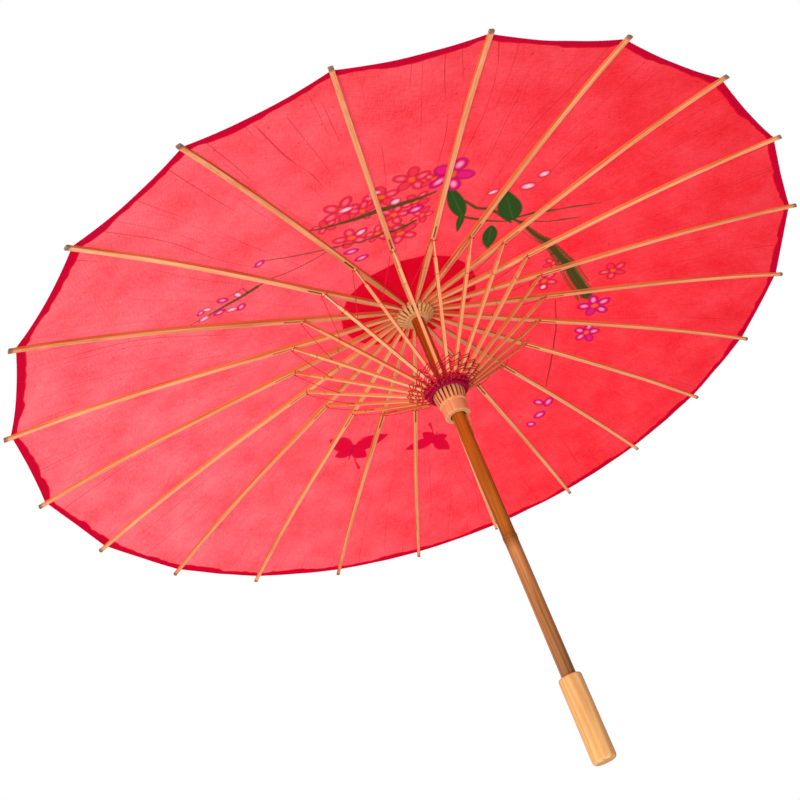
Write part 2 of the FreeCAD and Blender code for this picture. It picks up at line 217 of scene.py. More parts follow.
def store(mesh, name, values, kind="FLOAT_VECTOR"):
    """Keeps one value for each point of the mesh under a name that its material reads."""
    field = {"FLOAT_VECTOR": "vector", "FLOAT_COLOR": "color", "FLOAT": "value"}[kind]
    attribute = mesh.attributes.new(name, kind, "POINT")
    attribute.data.foreach_set(field, np.asarray(values, np.float32).ravel())


def tube(path, radius, sides, closed=False):
    """Points and faces of a round tube along a path of points."""
    path = [Vector(point) for point in path]
    count = len(path)
    points, faces = [], []
    normal = None
    for index, place in enumerate(path):
        before = path[index - 1] if closed or index > 0 else place
        after = path[(index + 1) % count] if closed or index < count - 1 else place
        run = (after - before).normalized()
        if normal is None:
            normal = run.orthogonal()
        normal = (normal - run * normal.dot(run)).normalized()
        side = run.cross(normal)
        for step in range(sides):
            angle = 2 * pi * step / sides
            points.append(place + radius * (normal * cos(angle) + side * sin(angle)))
    for index in range(count if closed else count - 1):
        here, there = index * sides, (index + 1) % count * sides
        for step in range(sides):
            after = (step + 1) % sides
            faces.append((here + step, here + after, there + after, there + step))
    if not closed:
        faces.append(tuple(reversed(range(sides))))
        faces.append(tuple(range((count - 1) * sides, count * sides)))
    return points, faces


def join_shapes(shapes):
    """One list of points and one of faces from many."""
    points, faces = [], []
    for more_points, more_faces in shapes:
        start = len(points)
        points += more_points
        faces += [tuple(start + index for index in face) for face in more_faces]
    return points, faces


def spun(points, turn):
    """The points turned about the pole by a number of ribs."""
    matrix = Matrix.Rotation(turn * PITCH, 3, "Z")
    return [matrix @ Vector(point) for point in points]


# ---------------- material helpers

def add(tree, kind, settings=None, **sockets):
    """A new shader node's outputs. A socket takes a value or an output; n0, n1... are sockets by number."""
    node = tree.nodes.new("ShaderNode" + kind)
    for key, value in (settings or {}).items():
        setattr(node, key, value)
    for key, value in sockets.items():
        numbered = key[0] == "n" and key[1:].isdigit()
        socket = node.inputs[int(key[1:]) if numbered else key.replace("_", " ")]
        if isinstance(value, bpy.types.NodeSocket):
            tree.links.new(value, socket)
        else:
            socket.default_value = value
    return node.outputs


def maths(operation, tree, first, second=0.0, third=0.0):
    """The output of a math node."""
    return add(tree, "Math", {"operation": operation}, n0=first, n1=second, n2=third)[0]


plus, minus, times = partial(maths, "ADD"), partial(maths, "SUBTRACT"), partial(maths, "MULTIPLY")


def weighted(tree, first, share, second):
    """A mean of two values, with the first one's share of it."""
    return plus(tree, times(tree, first, share), times(tree, second, 1 - share))


def split(tree, vector):
    """The x, y and z outputs of a vector."""
    return add(tree, "SeparateXYZ", Vector=vector)


def turn_at(tree, parts):
    """The turn about the pole, counted in ribs, of a place split into x, y and z."""
    return maths("DIVIDE", tree, maths("ARCTAN2", tree, parts[1], parts[0]), PITCH)


def station_at(tree, parts):
    """The distance from the pole's axis of a place split into x, y and z."""
    return maths("SQRT", tree, plus(tree, *(times(tree, part, part) for part in parts[:2])))


def scaled(tree, vector, scale):
    """A vector times one factor for each axis."""
    return add(tree, "VectorMath", {"operation": "MULTIPLY"}, n0=vector, n1=scale)[0]


def noise(tree, vector, stretch, detail=3.0, roughness=0.55, distortion=0.0):
    """The grey output of a noise texture, with how fine it is along each axis."""
    return add(tree, "TexNoise", Vector=scaled(tree, vector, stretch), Scale=1.0, Detail=detail,
               Roughness=roughness, Distortion=distortion)["Fac"]


def ramp(tree, factor, stops):
    """A colour from a factor, through (place, colour) stops."""
    colour = add(tree, "ValToRGB", Fac=factor)["Color"]
    elements = colour.node.color_ramp.elements
    while len(elements) < len(stops):
        elements.new(0.5)
    for element, (place, stop) in zip(elements, stops):
        element.position = place
        element.color = (*stop, 1.0)
    return colour


def remap(tree, value, low, high, to_low=0.0, to_high=1.0):
    """A value moved smoothly from one range to another."""
    return add(tree, "MapRange", {"interpolation_type": "SMOOTHSTEP"}, Value=value, n1=low, n2=high,
               n3=to_low, n4=to_high)["Result"]


def mixed(tree, factor, first, second, blend="MIX"):
    """Two colours mixed by a factor."""
    first, second = (colour if isinstance(colour, bpy.types.NodeSocket) else (*colour, 1.0)
                     for colour in (first, second))
    return add(tree, "Mix", {"data_type": "RGBA", "blend_type": blend}, n0=factor, n6=first, n7=second)[2]


def new_material(name):
    """An empty node material and its node tree."""
    material = bpy.data.materials.new(name)
    material.use_nodes = True
    material.node_tree.nodes.clear()
    return material, material.node_tree


def bump(tree, height, strength, distance):
    """A normal from a height."""
    return add(tree, "Bump", Height=height, Strength=strength, Distance=distance)[0]


def surface(tree, shader):
    """Ends the material with a shader."""
    add(tree, "OutputMaterial", Surface=shader)


def principled(tree, colour, roughness, normal, shine=0.3):
    """A Principled shader."""
    return add(tree, "BsdfPrincipled", Base_Color=colour, Roughness=roughness, Normal=normal,
               Specular_IOR_Level=shine)[0]


# ---------------- materials

def split_bamboo(name, rise, mark_station):
    """Split bamboo for a ring of bars that rise by the given slope, with fibres along each bar."""
    material, tree = new_material(name)
    coordinates = add(tree, "TexCoord")
    parts, facing = split(tree, coordinates["Object"]), split(tree, coordinates["Normal"])
    turn = plus(tree, turn_at(tree, parts), RIBS + 0.5)
    number = maths("FLOOR", tree, turn)
    offset = times(tree, minus(tree, maths("FRACT", tree, turn), 0.5), PITCH)
    station = station_at(tree, parts)
    across = times(tree, station, offset)
    level = minus(tree, parts[2], times(tree, station, rise))
    seed = add(tree, "TexWhiteNoise", {"noise_dimensions": "1D"}, W=number)["Value"]
    shifted = plus(tree, station, times(tree, seed, 7.0))
    along = add(tree, "CombineXYZ", X=shifted, Y=across, Z=level)[0]
    fibres = noise(tree, along, (14, 1500, 1500), detail=4)
    broad = noise(tree, along, (9, 260, 260), detail=2)
    tone = weighted(tree, fibres, 0.45, broad)
    tone = plus(tree, tone, times(tree, minus(tree, seed, 0.5), 0.16))
    colour = ramp(tree, tone, [(0.28, (0.56, 0.15, 0.040)), (0.45, (0.78, 0.28, 0.115)),
                               (0.60, (0.88, 0.39, 0.185)), (0.78, (0.95, 0.53, 0.30))])
    # Painted shade: the sides of each bar, found from the normal, are made browner than its underside
    sideways = minus(tree, times(tree, parts[0], facing[1]), times(tree, parts[1], facing[0]))
    sideways = maths("ABSOLUTE", tree, maths("DIVIDE", tree, sideways, station))
    colour = mixed(tree, remap(tree, sideways, 0.45, 0.9), colour, SIDE_SHADE_AND_END_GRAIN_BROWN, "MULTIPLY")
    mark_place = plus(tree, mark_station, times(tree, seed, 16 * MM))
    away = maths("ABSOLUTE", tree, minus(tree, station, mark_place))
    mark = remap(tree, away, 0.3 * MM, 0.9 * MM, 0.6, 0.0)
    colour = mixed(tree, mark, colour, (0.30, 0.08, 0.02))
    tip = remap(tree, station, EDGE + 1.5 * MM, EDGE + 4.5 * MM, 0.0, 0.8)
    colour = mixed(tree, tip, colour, (0.10, 0.075, 0.06))
    normal = bump(tree, minus(tree, fibres, mark), 0.35, 0.25 * MM)
    roughness = remap(tree, fibres, 0.3, 0.7, 0.62, 0.45)
    surface(tree, principled(tree, colour, roughness, normal))
    return material


def whole_bamboo():
    """The pole's skin: golden brown at the top, pinker below, dark at each node."""
    material, tree = new_material("whole_bamboo")
    place = add(tree, "TexCoord")["Object"]
    streaks = noise(tree, place, (520, 520, 9), detail=5)
    broad = noise(tree, place, (110, 110, 5), detail=2)
    specks = noise(tree, place, (1500, 1500, 260), detail=2)
    share = maths("DIVIDE", tree, split(tree, place)[2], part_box("pole")[1].z)
    colour = ramp(tree, share, [(0.14, (0.25, 0.11, 0.04)), (0.22, (0.36, 0.15, 0.05)),
                                (0.38, (0.52, 0.22, 0.075)), (0.403, (0.26, 0.085, 0.012)),
                                (0.43, (0.38, 0.115, 0.012)), (0.62, (0.42, 0.105, 0.008)),
                                (0.95, (0.36, 0.065, 0.006))])
    lines = ramp(tree, streaks, [(0.32, (0.50, 0.42, 0.36)), (0.52, (1.0, 1.0, 1.0)),
                                 (0.70, (1.35, 1.3, 1.2))])
    colour = mixed(tree, 0.85, colour, lines, "MULTIPLY")
    patches = ramp(tree, broad, [(0.35, (0.66, 0.58, 0.50)), (0.62, (1.15, 1.12, 1.08))])
    colour = mixed(tree, 0.8, colour, patches, "MULTIPLY")
    colour = mixed(tree, remap(tree, specks, 0.66, 0.74, 0.0, 0.5), colour, (0.12, 0.04, 0.015))
    normal = bump(tree, streaks, 0.3, 0.25 * MM)
    roughness = remap(tree, broad, 0.3, 0.7, 0.42, 0.3)
    surface(tree, principled(tree, colour, roughness, normal, 0.15))
    return material


def inside_cut(tree, place):
    """1 inside the radial saw cuts, which lie in the ribs' planes, and 0 elsewhere."""
    parts = split(tree, place)
    turn, station = turn_at(tree, parts), station_at(tree, parts)
    offset = maths("ABSOLUTE", tree, minus(tree, turn, maths("ROUND", tree, turn)))
    across = times(tree, times(tree, offset, PITCH), station)
    wall = remap(tree, across, CUT_WIDTH / 2 + 0.02 * MM, CUT_WIDTH / 2 + 0.12 * MM, 1.0, 0.0)
    outside = remap(tree, station, 9.5 * MM, 10.5 * MM)
    above_collar = remap(tree, parts[2], CUT_BOTTOM, CUT_BOTTOM + 0.2 * MM)
    return times(tree, wall, times(tree, outside, above_collar))


def turned_wood(name, dark, light, pore, gloss, cut=None):
    """Turned wood: its grain up the pole's axis, growth lines and pores, and a colour for its saw cuts."""
    material, tree = new_material(name)
    place = add(tree, "TexCoord")["Object"]
    bent = add(tree, "VectorMath", {"operation": "ADD"}, n0=place, n1=(0.041, 0.013, 0))[0]
    grain = noise(tree, bent, (300, 300, 12), detail=5, distortion=0.3)
    lines = add(tree, "TexWave", {"wave_type": "BANDS", "bands_direction": "X"},
                Vector=scaled(tree, bent, (1, 1, 0.08)), Scale=95.0, Distortion=5.0, Detail=2.0,
                Detail_Scale=1.6)["Fac"]
    tone = weighted(tree, grain, 0.72, lines)
    middle = tuple((first + second) / 2 for first, second in zip(dark, light))
    colour = ramp(tree, tone, [(0.22, dark), (0.5, middle), (0.75, light)])
    pores = noise(tree, bent, (1300, 1300, 70), detail=2)
    dots = remap(tree, pores, 0.62, 0.74, 0.0, 0.55)
    colour = mixed(tree, dots, colour, pore)
    if cut:
        colour = mixed(tree, inside_cut(tree, place), colour, cut)
    end_grain = remap(tree, split(tree, place)[2], 0.05 * MM, 0.8 * MM, 0.75, 0.0)
    colour = mixed(tree, end_grain, colour, SIDE_SHADE_AND_END_GRAIN_BROWN, "MULTIPLY")
    normal = bump(tree, minus(tree, grain, dots), 0.22, 0.3 * MM)
    roughness = remap(tree, grain, 0.3, 0.7, gloss + 0.12, gloss)
    surface(tree, principled(tree, colour, roughness, normal))
    return material


def thread_material(name, dark, light):
    """Twisted thread: painted shade between its plies, with a soft sheen."""
    material, tree = new_material(name)
    place = add(tree, "TexCoord")["Object"]
    plies = add(tree, "TexWave", {"wave_type": "BANDS", "bands_direction": "DIAGONAL"},
                Vector=place, Scale=900.0, Distortion=3.0, Detail=1.0)["Fac"]
    fuzz = noise(tree, place, [2600] * 3, detail=2)
    tone = weighted(tree, plies, 0.6, fuzz)
    colour = ramp(tree, tone, [(0.2, dark), (0.8, light)])
    surface(tree, principled(tree, colour, 0.8, bump(tree, tone, 0.5, 0.15 * MM), 0.1))
    return material


def crease_lines(tree, polar, lines, wander, width, sparse):
    """Long thin creases that run outwards from the hub, broken into lengths."""
    turn = turn_at(tree, split(tree, polar))
    drift = noise(tree, polar, (3, 3, 4), detail=1.0)
    place = plus(tree, times(tree, turn, lines), times(tree, drift, wander))
    away = maths("ABSOLUTE", tree, minus(tree, maths("FRACT", tree, place), 0.5))
    fineness = 1 + 0.1 * lines
    lengths = noise(tree, polar, (13 * fineness, 13 * fineness, 6 * fineness), detail=1)
    shown = remap(tree, lengths, sparse, sparse + 0.1)
    return times(tree, remap(tree, away, 0.0, width, 1.0, 0.0), shown)


# The strong reds are the fabric's own; the pale reds after them are a lit copy, used only for the painted
# sheen
STRONG_REDS = [(0.36, (0.76, 0.008, 0.018)), (0.5, (0.83, 0.030, 0.044)), (0.64, (0.86, 0.060, 0.080))]
SHEEN_LIT_REDS = [(0.36, (0.79, 0.050, 0.072)), (0.5, (0.85, 0.112, 0.136)), (0.64, (0.88, 0.172, 0.20))]
SPECK_RED = (0.50, 0.003, 0.010)
CREASE_SHADE_RED = (0.46, 0.003, 0.012)
PATCH_RED = (0.80, 0.001, 0.055)
HEM_RED = (0.70, 0.0, 0.060)


def red_fabric():
    """Thin dyed plain weave that lets light through, with slubs, creases with painted shade along them, a
    painted sheen that pales the red towards -Y, and the painting.
    """
    material, tree = new_material("red_fabric")
    cloth, polar, layers, paint = (add(tree, "Attribute", {"attribute_name": name})
                                   for name in ("cloth", "polar", "layers", "paint"))
    cloth, polar, layers = cloth["Vector"], polar["Vector"], layers["Fac"]
    flat = split(tree, cloth)
    slubs = weighted(tree, noise(tree, cloth, (950, 110, 1), roughness=0.65), 0.5,
                     noise(tree, cloth, (110, 950, 1), roughness=0.65))
    clouds = noise(tree, cloth, [22] * 3, detail=4)
    specks = noise(tree, cloth, [190] * 3, detail=2)
    creases = maths("MAXIMUM", tree, crease_lines(tree, polar, 3.0, 2.2, 0.018, 0.46),
                    times(tree, crease_lines(tree, polar, 6.0, 4.0, 0.03, 0.50), 0.65))
    tone = weighted(tree, slubs, 0.62, clouds)
    # Painted sheen: the red pales towards -Y, as if more light lay on that side of the fabric
    painted_sheen = remap(tree, times(tree, flat[1], -1.0), *PAINTED_SHEEN_SPAN)
    red = mixed(tree, painted_sheen, ramp(tree, tone, STRONG_REDS), ramp(tree, tone, SHEEN_LIT_REDS))
    red = mixed(tree, remap(tree, specks, 0.69, 0.75, 0.0, 0.6), red, SPECK_RED)
    # Painted shade along the creases, where the folded fabric lets less light through
    red = mixed(tree, times(tree, creases, 0.72), red, CREASE_SHADE_RED)
    red = mixed(tree, maths("MINIMUM", tree, layers, 1.0), red, PATCH_RED)
    red = mixed(tree, minus(tree, maths("MAXIMUM", tree, layers, 1.0), 1.0), red, HEM_RED)
    colour = mixed(tree, paint["Alpha"], red, paint["Color"])
    warp, weft = (maths("SINE", tree, times(tree, part, WEAVE)) for part in flat[:2])
    height = plus(tree, times(tree, times(tree, warp, weft), 0.2),
                  maths("MULTIPLY_ADD", tree, creases, 1.2, slubs))
    normal = bump(tree, height, 0.35, 0.2 * MM)
    front = principled(tree, colour, 0.85, normal, 0.1)
    through = add(tree, "BsdfTranslucent", Color=colour, Normal=normal)[0]
    surface(tree, add(tree, "MixShader", Fac=0.6, n1=front, n2=through)[0])
    return material


RIB_SLOPE = (JOINT[1] - HUB[1]) / (JOINT[0] - HUB[0])
STRETCHER_SLOPE = STRETCHER_RUN.z / STRETCHER_RUN.x
RIB_BAMBOO = split_bamboo("rib_bamboo", RIB_SLOPE, 88 * MM)
STRETCHER_BAMBOO = split_bamboo("stretcher_bamboo", STRETCHER_SLOPE, 112 * MM)
POLE_SKIN = whole_bamboo()
GRIP_WOOD = turned_wood("grip_wood", (0.55, 0.25, 0.07), (0.82, 0.45, 0.17), (0.38, 0.16, 0.05), 0.38)
RUNNER_WOOD = turned_wood("runner_wood", (0.58, 0.21, 0.075), (0.78, 0.34, 0.165), (0.42, 0.15, 0.055),
                          0.5, cut=(0.50, 0.14, 0.03))
NOTCH_WOOD = turned_wood("notch_wood", (0.58, 0.27, 0.09), (0.80, 0.43, 0.18), (0.42, 0.18, 0.06),
                         0.5, cut=(0.58, 0.27, 0.085))
CRIMSON = thread_material("crimson_thread", (0.19, 0.0, 0.022), (0.52, 0.0, 0.055))
MAROON = thread_material("maroon_thread", (0.40, 0.003, 0.012), (0.74, 0.026, 0.040))
PALE_THREAD = thread_material("pale_thread", (0.35, 0.22, 0.12), (0.75, 0.6, 0.42))
FABRIC = red_fabric()


# ---------------- painting

OLIVE = (0.052, 0.045, 0.007)
OLIVE_LIGHT = (0.15, 0.12, 0.04)
LEAF = (0.022, 0.060, 0.010)
LEAF_VEIN = (0.07, 0.13, 0.02)
TWIG = (0.13, 0.016, 0.008)
MAGENTA = (0.42, 0.0, 0.085)
CRIMSON_WASH = (0.48, 0.001, 0.028)
PINK = (0.68, 0.010, 0.16)
PALE_PINK = (0.85, 0.30, 0.42)
FAINT_FILL = (0.80, 0.030, 0.06)
FAINT_LIGHT = (0.88, 0.14, 0.20)
LOOSE_LIGHT = (0.85, 0.55, 0.60)
BLOOM_HEART = (0.80, 0.10, 0.004)
WING = (0.56, 0.001, 0.026)


def heading(angle):
    """A flat direction."""
    return np.array([cos(angle), sin(angle)])


def at(station, azimuth):
    """A flat place in millimetres from a station in millimetres and an azimuth in degrees."""
    return station * heading(radians(azimuth))


class Painting:
    """Brush marks laid one over another at the given flat places, in millimetres."""

    def __init__(self, places):
        self.places = places
        self.colour = np.zeros((len(places), 4))

    def lay(self, cover, colour):
        """Adds a colour over what is there, where cover is 0 to 1."""
        under = self.colour[:, 3] * (1 - cover)
        total = cover + under
        held = self.colour[:, :3] * under[:, None] + np.array(colour) * cover[:, None]
        self.colour[:, :3] = held / np.maximum(total, 1e-6)[:, None]
        self.colour[:, 3] = total

    def far(self, centre, reach):
        """True if nothing here lies within reach of the centre."""
        return np.hypot(*(self.places - centre).T).min() > reach

    def local(self, centre, turn):
        """Places along and across a direction from a centre."""
        offset = self.places - centre
        along = offset[:, 0] * cos(turn) + offset[:, 1] * sin(turn)
        across = -offset[:, 0] * sin(turn) + offset[:, 1] * cos(turn)
        return along, across

    def oval(self, centre, turn, length, width, colour, strength, soft):
        """A filled oval."""
        if self.far(centre, length + width):
            return
        along, across = self.local(centre, turn)
        reach = np.hypot(along / length, across / width)
        self.lay(strength * np.clip((1 + soft / 2 - reach) / soft, 0, 1), colour)

    def stroke(self, path, widths, colour, strength, soft=0.7):
        """A brush stroke through the path, with its width at each point."""
        cover = np.zeros(len(self.places))
        for start, end, first, last in zip(path, path[1:], widths, widths[1:]):
            run = end - start
            if self.far((start + end) / 2, hypot(*run) / 2 + 8):
                continue
            share = np.clip(((self.places - start) @ run) / (run @ run), 0, 1)
            away = np.hypot(*(self.places - start - share[:, None] * run).T)
            half = (first + (last - first) * share) / 2
            cover = np.maximum(cover, np.clip((half + soft / 2 - away) / soft, 0, 1))
        self.lay(strength * cover, colour)

    def dry_brush(self, path, widths, colour, strength=0.93):
        """A broad stroke whose sides break up into separate bristle marks."""
        path = np.array(path)
        runs = np.gradient(path, axis=0)
        sides = np.stack([-runs[:, 1], runs[:, 0]], axis=1) / np.hypot(*runs.T)[:, None]
        self.stroke(path, [0.55 * width for width in widths], colour, strength, 1.4)
        for offset, thin, first in BRISTLES:
            marks = path + sides * (offset * np.array(widths))[:, None]
            start = int(first * (len(path) - 2))
            self.stroke(marks[start:], [0.08 * width * thin for width in widths[start:]], colour, strength)

    def petal(self, centre, turn, length, width, rim, fill, pale, strength=0.9):
        """One petal or bud: a dark rim, a fill and a pale light."""
        self.oval(centre, turn, length, width, rim, strength, 0.2)
        self.oval(centre, turn, length * 0.74, width * 0.66, fill, strength, 0.5)
        if pale:
            self.oval(centre, turn, length * 0.42, width * 0.36, pale, 0.9 * strength, 0.9)

    def flower(self, centre, size, turn, rim=MAGENTA, fill=PINK, pale=PALE_PINK, strength=0.9):
        """Five petals round an orange heart, some with a pale light."""
        if self.far(centre, 1.3 * size):
            return
        for number in range(5):
            angle = turn + 2 * pi * number / 5
            reach = size * (0.58 + 0.05 * sin(3 * angle))
            light = pale if (number + int(size)) % 3 != 1 else None
            self.petal(centre + heading(angle) * reach, angle, size * 0.43, size * 0.31, rim, fill, light,
                       strength)
        self.oval(centre, turn, size * 0.20, size * 0.16, BLOOM_HEART, strength, 0.6)

    def leaf(self, base, tip, width, colour=LEAF, vein=LEAF_VEIN):
        """A pointed leaf or wing with a thin vein."""
        run = tip - base
        length = hypot(*run)
        if self.far((base + tip) / 2, length):
            return
        along, across = self.local(base, atan2(run[1], run[0]))
        share = np.clip(along / length, 0, 1)
        half = width * np.sin(pi * share ** 0.8) ** 0.8 / 2
        inside = (along > 0) & (along < length)
        self.lay(np.where(inside, np.clip((half + 0.4 - np.abs(across)) / 0.8, 0, 1), 0), colour)
        self.stroke([base + run * 0.1, base + run * 0.8], [1.0, 0.4], vein, 0.6)

    def butterfly(self, centre, size, turn):
        """Pointed upper wings, small lower wings with one trailing tail, a body and feelers."""
        if self.far(centre, 1.8 * size):
            return
        forward = heading(turn)
        for side, reach in ((1, 1.0), (-1, 0.8)):
            for tilt, long, broad in ((118, 0.55, 0.34), (62, 0.95, 0.40)):
                way = heading(turn + side * radians(tilt))
                self.leaf(centre, centre + way * size * long * reach, size * broad, WING, CRIMSON_WASH)
            bend = turn + side * radians(22)
            way, curl = heading(bend), heading(bend + side * 0.7)
            self.stroke([centre, centre + way * size * 0.35, centre + (way + curl) * size * 0.28],
                        [1.1, 0.9, 2.6], WING, 0.9)
        way = heading(turn + radians(152))
        self.stroke([centre, centre + way * size * 0.45, centre + way * size * 0.8 + forward * size * 0.1],
                    [1.6, 1.8, 4.6], WING, 0.9)
        self.stroke([centre + forward * size * share for share in (-0.34, -0.1, 0.14)], [1.0, 3.4, 2.6],
                    CRIMSON_WASH, 0.95)


# Bristle marks of a dry brush: place across the stroke, thickness and the share of the stroke they start at
BRISTLES = list(zip(np.linspace(-0.52, 0.52, 14), rng.uniform(0.6, 1.6, 14),
                    rng.uniform(-0.2, 0.6, 14).clip(0)))


def paint_blossom(art):
    """Blossom boughs on one side of the hub and two butterflies on the other."""
    # faint outlined blossom behind the boughs
    for station, azimuth, size, turn in ((244, -24, 20, 0.3), (236, -15, 18, 1.1), (252, -8, 19, 0.0),
                                         (196, -26, 18, 2.2), (203, -13, 17, 1.5), (168, -12, 19, 0.8),
                                         (228, -20, 15, 2.6), (243, -3, 14, 1.7), (216, -7, 15, 0.6),
                                         (182, -19, 14, 1.2), (233, -29, 12, 0.9), (190, -5, 13, 2.9),
                                         (150, 72, 17, 0.5), (228, 74, 16, 1.9), (166, 62, 13, 0.4)):
        art.flower(at(station, azimuth), size, turn, CRIMSON_WASH, FAINT_FILL, FAINT_LIGHT, 0.8)
    # the thick bough
    bough = [at(200, 85), at(190, 78), at(181, 68), at(176, 57), at(174, 46), at(176, 36), at(182, 27)]
    art.dry_brush(bough, [21, 20, 17, 13, 9, 5, 2.8], OLIVE)
    # marks along it, thinner boughs and twigs
    for widths, colour, strength, *places in (
            ([1.2, 1.6, 1.4, 0.6], OLIVE_LIGHT, 0.6, (205, 84), (194, 76), (184, 66), (179, 55)),
            ([0.8, 1.2, 1.2, 0.7], OLIVE, 0.8, (196, 90), (184, 84), (172, 72), (168, 56)),
            ([0.8, 1.5, 0.8], OLIVE, 0.7, (170, 34), (168, 45), (170, 55)),
            ([2.5, 4.2, 4.0, 3.0], OLIVE, 0.93, (176, 28), (186, 20), (191, 12), (204, 7)),
            ([1.6, 3.2, 3.4], OLIVE, 0.93, (178, 27), (170, 17), (178, 9)),
            ([3.0, 4.4, 1.6, 2.4, 0.8], OLIVE, 0.93, (183, 27), (203, 34), (215, 37), (230, 40), (250, 44)),
            ([2.2, 1.4, 2.6, 0.8], OLIVE, 0.93, (180, 31), (196, 39), (209, 42), (222, 45)),
            ([2.6, 6.0, 7.0, 4.2, 1.6], OLIVE, 0.93,
             (222, -2), (219, -9), (216, -16), (226, -25), (239, -33)),
            ([3.4, 3.8, 1.8, 1.6, 1.2], OLIVE, 0.93,
             (184, -7), (175, -14), (184, -25), (200, -34), (247, -44)),
            ([2.6, 1.2], OLIVE, 0.93, (178, -10), (187, -12)),
            ([1.6, 1.2, 1.2, 1.8], TWIG, 0.93, (191, -29), (198, -37), (209, -45), (226, -52)),
            ([4.2, 3.6, 0.9], OLIVE, 0.93, (226, -52), (244, -58), (268, -65)),
            ([1.0, 1.0, 0.6], TWIG, 0.93, (232, -54), (240, -53), (250, -56)),
            ([1.0, 1.4, 1.6, 1.0], TWIG, 0.93, (163, 86), (178, 104), (206, 122), (226, 130))):
        art.stroke([at(*place) for place in places], widths, colour, strength)
    # leaves
    art.leaf(at(177, 9), at(229, 1), 17)
    art.leaf(at(186, 8), at(152, 10), 8)
    art.leaf(at(180, 28), at(219, 17), 25)
    art.leaf(at(166, 22), at(129, 31), 16)
    # bright blossom over them
    for station, azimuth, size, turn in ((244, 1, 24, 0.35), (212, 90, 20, 0.9), (217, 103, 17, 0.1)):
        art.flower(at(station, azimuth), size, turn)
    # buds and loose petals
    for station, azimuth, length, width, turn in (
            (203, -7, 9, 6, 1.3), (174, -29, 8, 5, 1.4), (155, -28, 8, 5, 1.1), (247, -45, 6, 4, 0.6),
            (228, -59, 6, 4.5, 0.4), (247, -61, 6, 4, 1.2), (253, -57, 6, 4, 2.0), (266, -61, 5, 3.4, 0.6),
            (260, 139, 9, 6, 1.0), (250, 134, 9, 6, 0.4), (266, 143, 7, 5, 1.6), (240, 136, 8, 5, 2.0)):
        art.petal(at(station, azimuth), turn, length, width, MAGENTA, PINK, PALE_PINK)
    for station, azimuth, length, width, turn in (
            (231, 22, 8.5, 5.5, 1.3), (252, 23, 6.5, 5, 1.0), (215, 14, 6, 4, 1.4), (224, -12, 6, 5, 0.8),
            (236, -60, 6, 3.6, 1.6), (258, -63, 6, 3.6, 0.9), (241, -55, 5, 3.4, 2.4),
            (262, -60, 5, 3.2, 2.0), (198, -23, 6, 4.5, 1.0), (243, -23, 8, 4, 1.4), (245, -16, 7, 4, 1.4),
            (148, 76, 5, 4, 0.4)):
        art.petal(at(station, azimuth), turn, length, width, CRIMSON_WASH, PALE_PINK, LOOSE_LIGHT, 0.85)
    art.butterfly(at(207, -156), 52, radians(20))
    art.butterfly(at(213, 173), 42, radians(200))


# ---------------- canopy

# Waves of each panel, four to a panel: half waves across it, phase and strength
WAVES = np.stack([rng.integers(2, 5, RIBS * 4), rng.uniform(0, 2 * pi, RIBS * 4),
                  rng.uniform(0.2, 1.0, RIBS * 4)]).reshape(3, RIBS, 4)
WAVE_HEIGHT = 0.28 * MM
# Waves of the hem's width: how many round the canopy, and phase
HEM_WAVES = [(count, rng.uniform(0, 2 * pi)) for count in (17, 37, 59, 83, 127, 190)]


def undulation(turn, station):
    """Soft waves in each panel of fabric, which die out over the ribs and towards the hub."""
    panel = np.mod(np.floor(turn).astype(int), RIBS)
    share = turn - np.floor(turn)
    total = np.zeros_like(station)
    for layer in range(WAVES.shape[2]):
        number, phase, strength = WAVES[:, panel, layer]
        drift = 0.35 * np.sin(station / (70 * MM) + phase)
        total += strength * np.sin(number * pi * (share + drift) + phase) * np.sin(pi * share)
    growth = np.clip((station - COLLAR_END) / (EDGE - COLLAR_END), 0, 1)
    return WAVE_HEIGHT * total * growth


def edge_station(turn):
    """Where the fabric ends: drawn in between the ribs."""
    nearness = 1 - np.abs(2 * (turn - np.floor(turn)) - 1)
    return EDGE - EDGE_DIP * nearness * (2 - nearness)


def hem_width(turn):
    """The uneven width of the folded edge."""
    wave = sum(np.sin(turn * PITCH * count + phase) / (1 + 0.9 * index)
               for index, (count, phase) in enumerate(HEM_WAVES))
    low, high = HEM_WIDTHS
    return low + (high - low) * (0.5 + 0.5 * np.tanh(0.75 * wave))


def fabric(turn, station, lift):
    """Places on the sheet: flat over each rib, then straight from rib to rib with a little sag and waves."""
    first = np.floor(turn)
    share = turn - first
    before, after = first * PITCH, (first + 1) * PITCH
    x = station * ((1 - share) * np.cos(before) + share * np.cos(after))
    y = station * ((1 - share) * np.sin(before) + share * np.sin(after))
    across = station * np.minimum(share, 1 - share) * 2 * sin(PITCH / 2)
    free = np.maximum(station * sin(PITCH / 2) - RIB_REST, 0.5 * MM)
    slack = np.clip((across - RIB_REST) / free, 0, 1)
    growth = np.clip((station - CROWN_END) / (EDGE - CROWN_END), 0, 1) ** 1.4
    height = np.polyval(PROFILE, station) + SHEET_LIFT - SAG * growth * slack * (2 - slack)
    height += undulation(turn, station) * slack
    return np.stack([x, y, height + lift], axis=-1)


def fabric_normals(turn, station, lift):
    """Upward normals that match across the borders between pieces."""
    step = 1.5 * MM
    turn_step = step / np.maximum(station, 5 * MM) / PITCH
    along = fabric(turn, station + step, lift) - fabric(turn, station - step, lift)
    around = fabric(turn + turn_step, station, lift) - fabric(turn - turn_step, station, lift)
    normals = np.cross(along, around)
    return normals / np.linalg.norm(normals, axis=-1, keepdims=True)


def patch_station(turn):
    """Where the off-centre round patch ends."""
    x, y = PATCH_CENTRE
    towards = x * np.cos(turn * PITCH) + y * np.sin(turn * PITCH)
    return towards + np.sqrt(towards ** 2 + (PATCH_RADIUS ** 2 - x ** 2 - y ** 2))


